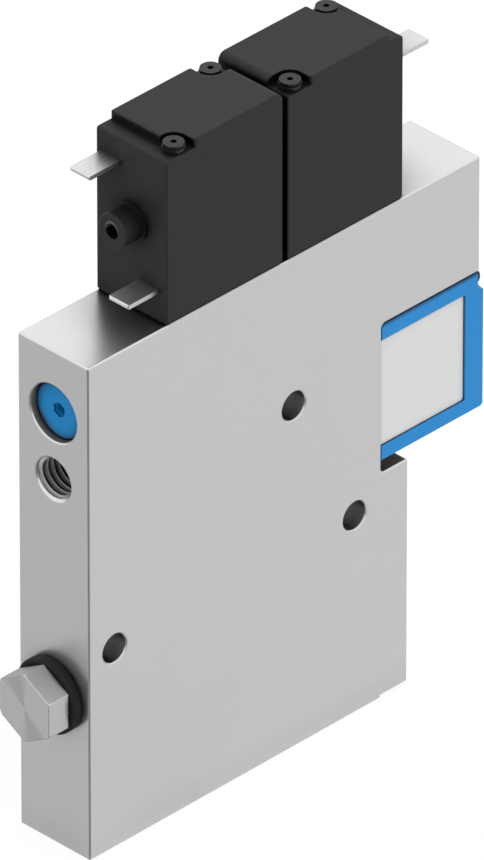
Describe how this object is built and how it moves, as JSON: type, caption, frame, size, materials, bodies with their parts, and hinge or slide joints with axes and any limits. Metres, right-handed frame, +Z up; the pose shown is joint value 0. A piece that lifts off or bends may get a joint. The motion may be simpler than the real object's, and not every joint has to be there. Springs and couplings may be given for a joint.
{
  "type": "vacuum ejector",
  "caption": "Slim block-type vacuum ejector with solenoid valves on top, a throttle screw, a threaded supply port, a screw plug and a rear filter with its vacuum port.",
  "frame": {"origin": "centre of the flat face that the block stands on", "axes": "+Z up along the tall side of the block, towards the valves; +X from the face with the ports to the filter at the rear; Y across the slim block"},
  "size_m": [0.0614, 0.01, 0.0798],
  "materials": {
    "block_aluminium": "fine bead-blasted and clear anodised",
    "plug_steel": "nickel-plated, turned end face",
    "black_rubber": "matt moulded rubber",
    "blue_anodised": "blue anodised",
    "blue_plastic": "moulded, satin",
    "pale_plastic": "moulded, milky",
    "filter_white": "porous sinter",
    "black_plastic": "moulded, fine grain",
    "black_screw": "black oxide",
    "dark_pin": "black oxide",
    "tin_terminal": "tin-plated",
    "nozzle_brass": "turned",
    "silencer_felt": "sintered fibre",
    "retainer_steel": "punched",
    "port_nickel": "nickel-plated",
    "steel_ball": "polished",
    "soft_iron": "zinc-plated",
    "copper_winding": "enamelled wire",
    "bobbin_plastic": "moulded",
    "base_plastic": "moulded",
    "spring_steel": "wire"
  },
  "bodies": {
    "root": {"filter_bowl": "pale_plastic", "filter_element": "filter_white", "filter_frame": "blue_plastic", "filter_lock_pin": "dark_pin", "filter_seal": "black_rubber", "gallery_balls": "steel_ball", "housing": "block_aluminium", "jet_nozzle": "nozzle_brass", "jet_seal": "black_rubber", "plug_seal": "black_rubber", "pulse_valve_base": "base_plastic", "pulse_valve_bobbin": "bobbin_plastic", "pulse_valve_case": "black_plastic", "pulse_valve_core": "soft_iron", "pulse_valve_gasket": "black_rubber", "pulse_valve_lower_terminal": "tin_terminal", "pulse_valve_pole_plate": "soft_iron", "pulse_valve_spring": "spring_steel", "pulse_valve_upper_terminal": "tin_terminal", "pulse_valve_winding": "copper_winding", "pulse_valve_yoke": "soft_iron", "receiver_nozzle": "nozzle_brass", "receiver_seal": "black_rubber", "screw_plug": "plug_steel", "silencer": "silencer_felt", "silencer_retainer": "retainer_steel", "vacuum_port_insert": "port_nickel", "vacuum_valve_base": "base_plastic", "vacuum_valve_bobbin": "bobbin_plastic", "vacuum_valve_case": "black_plastic", "vacuum_valve_core": "soft_iron", "vacuum_valve_gasket": "black_rubber", "vacuum_valve_lower_terminal": "tin_terminal", "vacuum_valve_pole_plate": "soft_iron", "vacuum_valve_spring": "spring_steel", "vacuum_valve_upper_terminal": "tin_terminal", "vacuum_valve_winding": "copper_winding", "vacuum_valve_yoke": "soft_iron", "valve_screws": "black_screw"},
    "vacuum_armature": {"vacuum_valve_armature": "soft_iron", "vacuum_valve_armature_seal": "black_rubber"},
    "pulse_armature": {"pulse_valve_armature": "soft_iron", "pulse_valve_armature_seal": "black_rubber"},
    "throttle_travel": {"throttle_seal": "black_rubber"},
    "throttle_turn": {"throttle_screw": "blue_anodised"}
  },
  "joints": [
    {"name": "vacuum_armature_stroke", "type": "slide", "parent": "root", "child": "vacuum_armature", "axis": [0, 0, 1], "range_m": [0, 0.0003], "stiffness_N_per_m": 150, "springref_m": -0.001, "deforming": ["vacuum_valve_spring"]},
    {"name": "pulse_armature_stroke", "type": "slide", "parent": "root", "child": "pulse_armature", "axis": [0, 0, 1], "range_m": [0, 0.0003], "stiffness_N_per_m": 150, "springref_m": -0.001, "deforming": ["pulse_valve_spring"]},
    {"name": "throttle_screw_travel", "type": "slide", "parent": "root", "child": "throttle_travel", "axis": [-1, 0, 0], "range_m": [0, 0.00075]},
    {"name": "throttle_screw_turn", "type": "hinge", "parent": "throttle_travel", "child": "throttle_turn", "pos_m": [-0.02022, 0, 0.0519], "axis": [-1, 0, 0], "range_deg": [0, 540]}
  ],
  "couplings": [
    {"joint": "throttle_screw_turn", "follows": "throttle_screw_travel", "rad_per_m": 12566}
  ]
}
